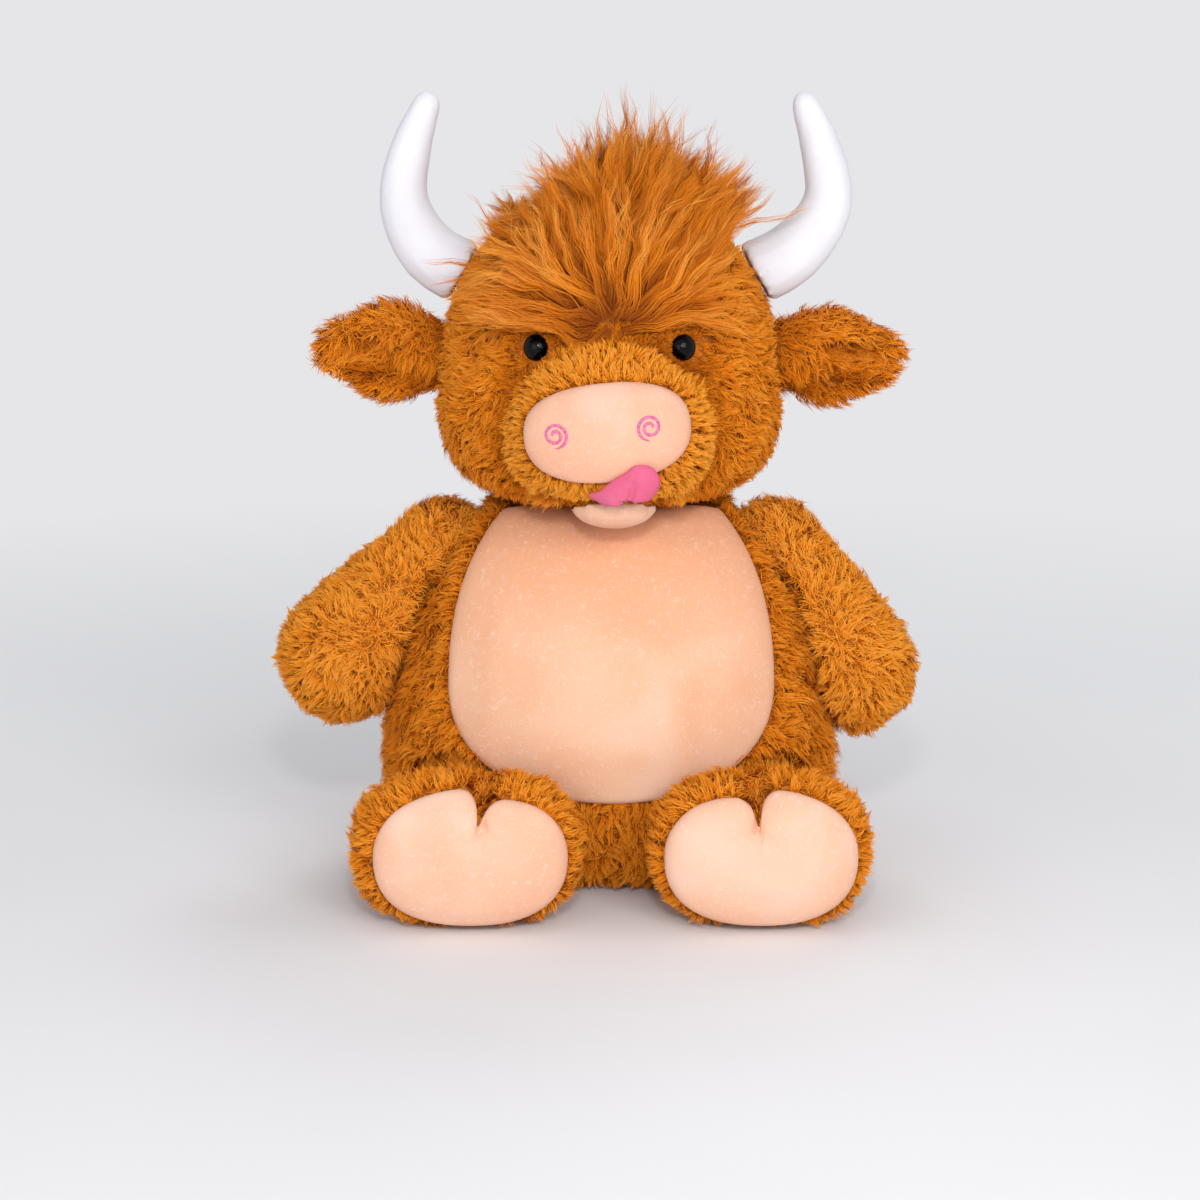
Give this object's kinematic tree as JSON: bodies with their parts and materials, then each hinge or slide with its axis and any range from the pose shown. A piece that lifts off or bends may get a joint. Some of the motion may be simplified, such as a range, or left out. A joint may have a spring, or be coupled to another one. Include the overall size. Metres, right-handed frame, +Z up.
{
  "type": "plush toy",
  "caption": "Seated stuffed toy cow with curved horns, hair tuft, padded muzzle, tongue and cloven feet; head, arms, legs, ears and tail turn at their seams.",
  "frame": {"origin": "middle of the flat seat that the toy rests on", "axes": "+Z up, -Y the way the toy faces, +X to the right of someone looking at its face"},
  "size_m": [0.3211, 0.2508, 0.3856],
  "materials": {
    "fur": "matte",
    "long_hair": "satin",
    "peach_plush": "matte",
    "horn_plush": "matte",
    "tongue_plush": "matte",
    "eye_gloss": "gloss",
    "washer_plastic": "satin",
    "bag_cotton": "matte"
  },
  "bodies": {
    "torso": {"body": "fur", "belly_panel": "peach_plush", "pellet_bag": "bag_cotton"},
    "head_body": {"head": "fur", "muzzle": "fur", "nose_pad": "peach_plush", "lower_lip": "peach_plush", "tongue": "tongue_plush", "eye_left": "eye_gloss", "eye_right": "eye_gloss", "eye_washer_left": "washer_plastic", "eye_washer_right": "washer_plastic", "horn_left": "horn_plush", "horn_right": "horn_plush", "forelock": "long_hair"},
    "ear_left_body": {"ear_left": "fur"},
    "ear_right_body": {"ear_right": "fur"},
    "arm_left_body": {"arm_left": "fur"},
    "arm_right_body": {"arm_right": "fur"},
    "leg_left_body": {"leg_left": "fur", "sole_left": "peach_plush"},
    "leg_right_body": {"leg_right": "fur", "sole_right": "peach_plush"},
    "tail_body": {"tail": "fur", "tail_tuft": "long_hair"}
  },
  "joints": [
    {"name": "neck_turn", "type": "hinge", "parent": "torso", "child": "head_body", "pos_m": [0, 0, 0.1879], "axis": [0, 0, 1], "range_deg": [-30, 30]},
    {"name": "arm_left_raise", "type": "hinge", "parent": "torso", "child": "arm_left_body", "pos_m": [-0.08177, 0.002, 0.163], "axis": [0, 1, 0], "range_deg": [0, 55]},
    {"name": "arm_right_raise", "type": "hinge", "parent": "torso", "child": "arm_right_body", "pos_m": [0.08177, 0.002, 0.163], "axis": [0, -1, 0], "range_deg": [0, 55]},
    {"name": "leg_left_splay", "type": "hinge", "parent": "torso", "child": "leg_left_body", "pos_m": [-0.065, -0.04802, 0.04], "axis": [0, 0, -1], "range_deg": [0, 30]},
    {"name": "leg_right_splay", "type": "hinge", "parent": "torso", "child": "leg_right_body", "pos_m": [0.065, -0.04802, 0.04], "axis": [0, 0, 1], "range_deg": [0, 30]},
    {"name": "ear_left_fold", "type": "hinge", "parent": "head_body", "child": "ear_left_body", "pos_m": [-0.08801, 0.004, 0.2579], "axis": [0, 0, 1], "range_deg": [-20, 20], "stiffness_Nm_per_rad": 0.01},
    {"name": "ear_right_fold", "type": "hinge", "parent": "head_body", "child": "ear_right_body", "pos_m": [0.08801, 0.004, 0.2579], "axis": [0, 0, -1], "range_deg": [-20, 20], "stiffness_Nm_per_rad": 0.01},
    {"name": "tail_swing", "type": "hinge", "parent": "torso", "child": "tail_body", "pos_m": [0, 0.10239, 0.096], "axis": [0, 1, 0], "range_deg": [-45, 45]}
  ]
}
